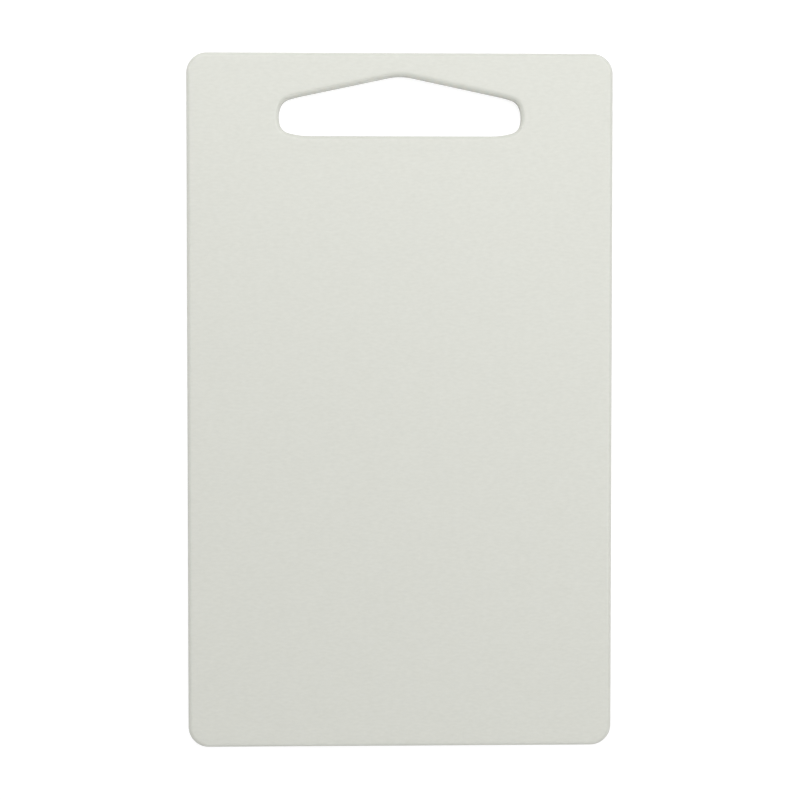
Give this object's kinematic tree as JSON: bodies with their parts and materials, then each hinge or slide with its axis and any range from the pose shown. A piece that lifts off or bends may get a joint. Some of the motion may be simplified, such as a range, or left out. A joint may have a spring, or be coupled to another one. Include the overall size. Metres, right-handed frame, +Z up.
{
  "type": "cutting board",
  "caption": "Flat plastic cutting board with rounded corners and edges and a wide, peaked hand slot at one end for carrying or hanging.",
  "frame": {"origin": "middle of the underside, on the surface that the board lies on", "axes": "+Z up out of the cutting face, +Y along the board's long sides towards the end with the hand slot, +X across the board along the slot"},
  "size_m": [0.203, 0.3314, 0.008],
  "materials": {
    "board": "satin natural-white polyethylene with a very fine grain"
  },
  "bodies": {
    "root": {"board": "board"}
  },
  "joints": []
}
